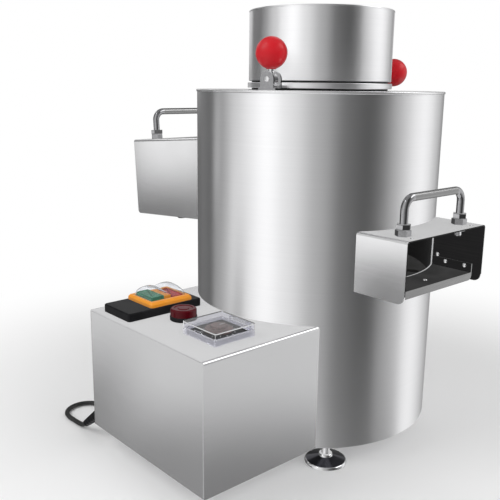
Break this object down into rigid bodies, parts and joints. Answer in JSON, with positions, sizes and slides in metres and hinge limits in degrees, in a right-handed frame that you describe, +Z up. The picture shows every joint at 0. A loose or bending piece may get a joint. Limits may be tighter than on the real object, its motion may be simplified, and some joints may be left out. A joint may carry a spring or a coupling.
{
  "type": "chestnut peeling machine",
  "caption": "Upright steel drum peeler with a clamped feed hopper, handled chutes left and right, a front control box with switch, buzzer and covered timer, levelling feet and a mains lead.",
  "frame": {"origin": "on the floor under the middle of the machine's footprint", "axes": "+Z up along the drum's axis, -Y to the control box's front, +X to the short shell chute"},
  "size_m": [0.5068, 0.417, 0.525],
  "materials": {
    "stainless": "brushed stainless sheet",
    "hopper_steel": "polished stainless sheet",
    "bright_steel": "bright steel",
    "foot_black": "gloss black",
    "motor_cast": "cast, grey",
    "seal_rubber": "matt",
    "disc_cast": "cast, tumbled",
    "black_plastic": "satin",
    "orange_frame": "gloss",
    "clear_boot": "clear soft vinyl",
    "start_green": "gloss",
    "stop_red": "gloss",
    "buzzer_red": "gloss",
    "dial_grey": "satin",
    "clear_cover": "clear",
    "capacitor_can": "plain",
    "ball_red": "gloss",
    "cord_black": "matt",
    "pin_brass": "plain"
  },
  "bodies": {
    "machine": {"drum_shell": "stainless", "base_plate": "stainless", "top_plate": "stainless", "hopper": "hopper_steel", "foot_pads": "foot_black", "foot_studs": "bright_steel", "foot_nuts": "bright_steel", "motor_plate": "stainless", "motor_body": "motor_cast", "motor_bolts": "bright_steel", "shaft_seal": "seal_rubber", "box_cover": "stainless", "box_front": "stainless", "box_base": "stainless", "switch_base": "black_plastic", "switch_frame": "orange_frame", "switch_boot": "clear_boot", "switch_body": "black_plastic", "buzzer_ring": "black_plastic", "buzzer_cap": "buzzer_red", "buzzer_barrel": "black_plastic", "timer_body": "black_plastic", "timer_frame": "clear_cover", "timer_hinge_pin": "bright_steel", "run_capacitor": "capacitor_can", "shell_chute_hood": "stainless", "shell_chute_tray": "stainless", "shell_chute_handle": "bright_steel", "shell_chute_collars": "bright_steel", "shell_chute_nuts": "bright_steel", "nut_chute_hood": "stainless", "nut_chute_tray": "stainless", "nut_chute_handle": "bright_steel", "nut_chute_collars": "bright_steel", "nut_chute_nuts": "bright_steel", "nut_chute_bumpers": "seal_rubber", "clamp_brackets": "bright_steel", "clamp_pins": "bright_steel", "cord_gland": "black_plastic", "cord_lead": "cord_black", "cord_coil": "cord_black", "plug_body": "black_plastic", "plug_pins": "pin_brass"},
    "rotor": {"motor_shaft": "bright_steel", "peeling_disc": "disc_cast", "disc_nut": "bright_steel"},
    "start": {"start_button": "start_green"},
    "stop": {"stop_button": "stop_red"},
    "dial": {"timer_dial": "dial_grey"},
    "lid": {"timer_lid": "clear_cover"},
    "front_clamp": {"front_clamp_lever": "bright_steel", "front_clamp_knob": "ball_red"},
    "rear_clamp": {"rear_clamp_lever": "bright_steel", "rear_clamp_knob": "ball_red"}
  },
  "joints": [
    {"name": "rotor_spin", "type": "hinge", "parent": "machine", "child": "rotor", "pos_m": [0.05587, 0.0575, 0.214], "axis": [0, 0, 1], "continuous": true},
    {"name": "start_press", "type": "slide", "parent": "machine", "child": "start", "axis": [0, 0, -1], "range_m": [0, 0.003], "stiffness_N_per_m": 300},
    {"name": "stop_press", "type": "slide", "parent": "machine", "child": "stop", "axis": [0, 0, -1], "range_m": [0, 0.003], "stiffness_N_per_m": 300},
    {"name": "timer_dial_turn", "type": "hinge", "parent": "machine", "child": "dial", "pos_m": [0.11287, -0.1475, 0.178], "axis": [0, 0, -1], "range_deg": [0, 300]},
    {"name": "timer_lid_open", "type": "hinge", "parent": "machine", "child": "lid", "pos_m": [0.11287, -0.1172, 0.1862], "axis": [-1, 0, 0], "range_deg": [0, 110]},
    {"name": "front_clamp_swing", "type": "hinge", "parent": "machine", "child": "front_clamp", "pos_m": [0.08512, -0.05165, 0.4446], "axis": [0.2588, -0.9659, 0], "range_deg": [0, 72]},
    {"name": "rear_clamp_swing", "type": "hinge", "parent": "machine", "child": "rear_clamp", "pos_m": [0.05587, 0.1705, 0.4446], "axis": [0, 1, 0], "range_deg": [-66, 6]}
  ]
}
